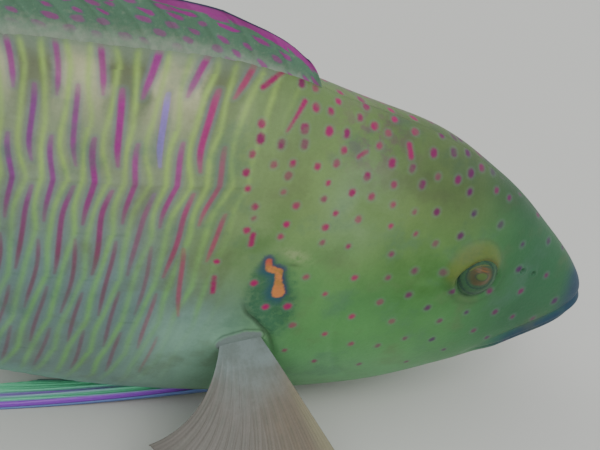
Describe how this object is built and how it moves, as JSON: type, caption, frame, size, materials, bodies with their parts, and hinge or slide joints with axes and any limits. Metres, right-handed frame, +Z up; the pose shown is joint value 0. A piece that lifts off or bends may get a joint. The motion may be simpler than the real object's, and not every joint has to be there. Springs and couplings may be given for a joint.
{
  "type": "broomtail wrasse",
  "caption": "Life-size still model of a male broomtail wrasse resting on its breast, nose a little down, fins part spread and the tail fin fringed.",
  "frame": {"origin": "middle of the flat under the breast, on the floor that the fish rests on", "axes": "+X towards the snout, +Y to the fish's left, +Z up"},
  "size_m": [0.4475, 0.1444, 0.1725],
  "materials": {
    "head_skin": "satin green skin with small magenta and purple spots",
    "lip_skin": "satin blue-green lips",
    "flank_skin": "satin scales, yellow-green with magenta strokes, darker and bluer to the rear",
    "median_fin": "satin fin membrane, green to blue with magenta bands and marks",
    "pectoral_fin": "thin satin membrane, grey to tan",
    "pelvic_fin": "satin green membrane with a purple leading edge",
    "eye": "wet gloss, orange-brown iris and small greenish pupil"
  },
  "bodies": {
    "root": {"head": "head_skin", "upper_lip": "lip_skin", "lower_jaw": "lip_skin", "gill_cover_right": "head_skin", "gill_cover_left": "head_skin", "eye_right": "eye", "eye_left": "eye", "torso_front": "flank_skin", "torso_rear": "flank_skin", "tail_stem": "flank_skin", "dorsal_fin_front": "median_fin", "dorsal_fin_rear": "median_fin", "anal_fin": "median_fin", "tail_fin": "median_fin", "pectoral_fin_right": "pectoral_fin", "pectoral_fin_left": "pectoral_fin", "pelvic_fin_right": "pelvic_fin", "pelvic_fin_left": "pelvic_fin"}
  },
  "joints": []
}
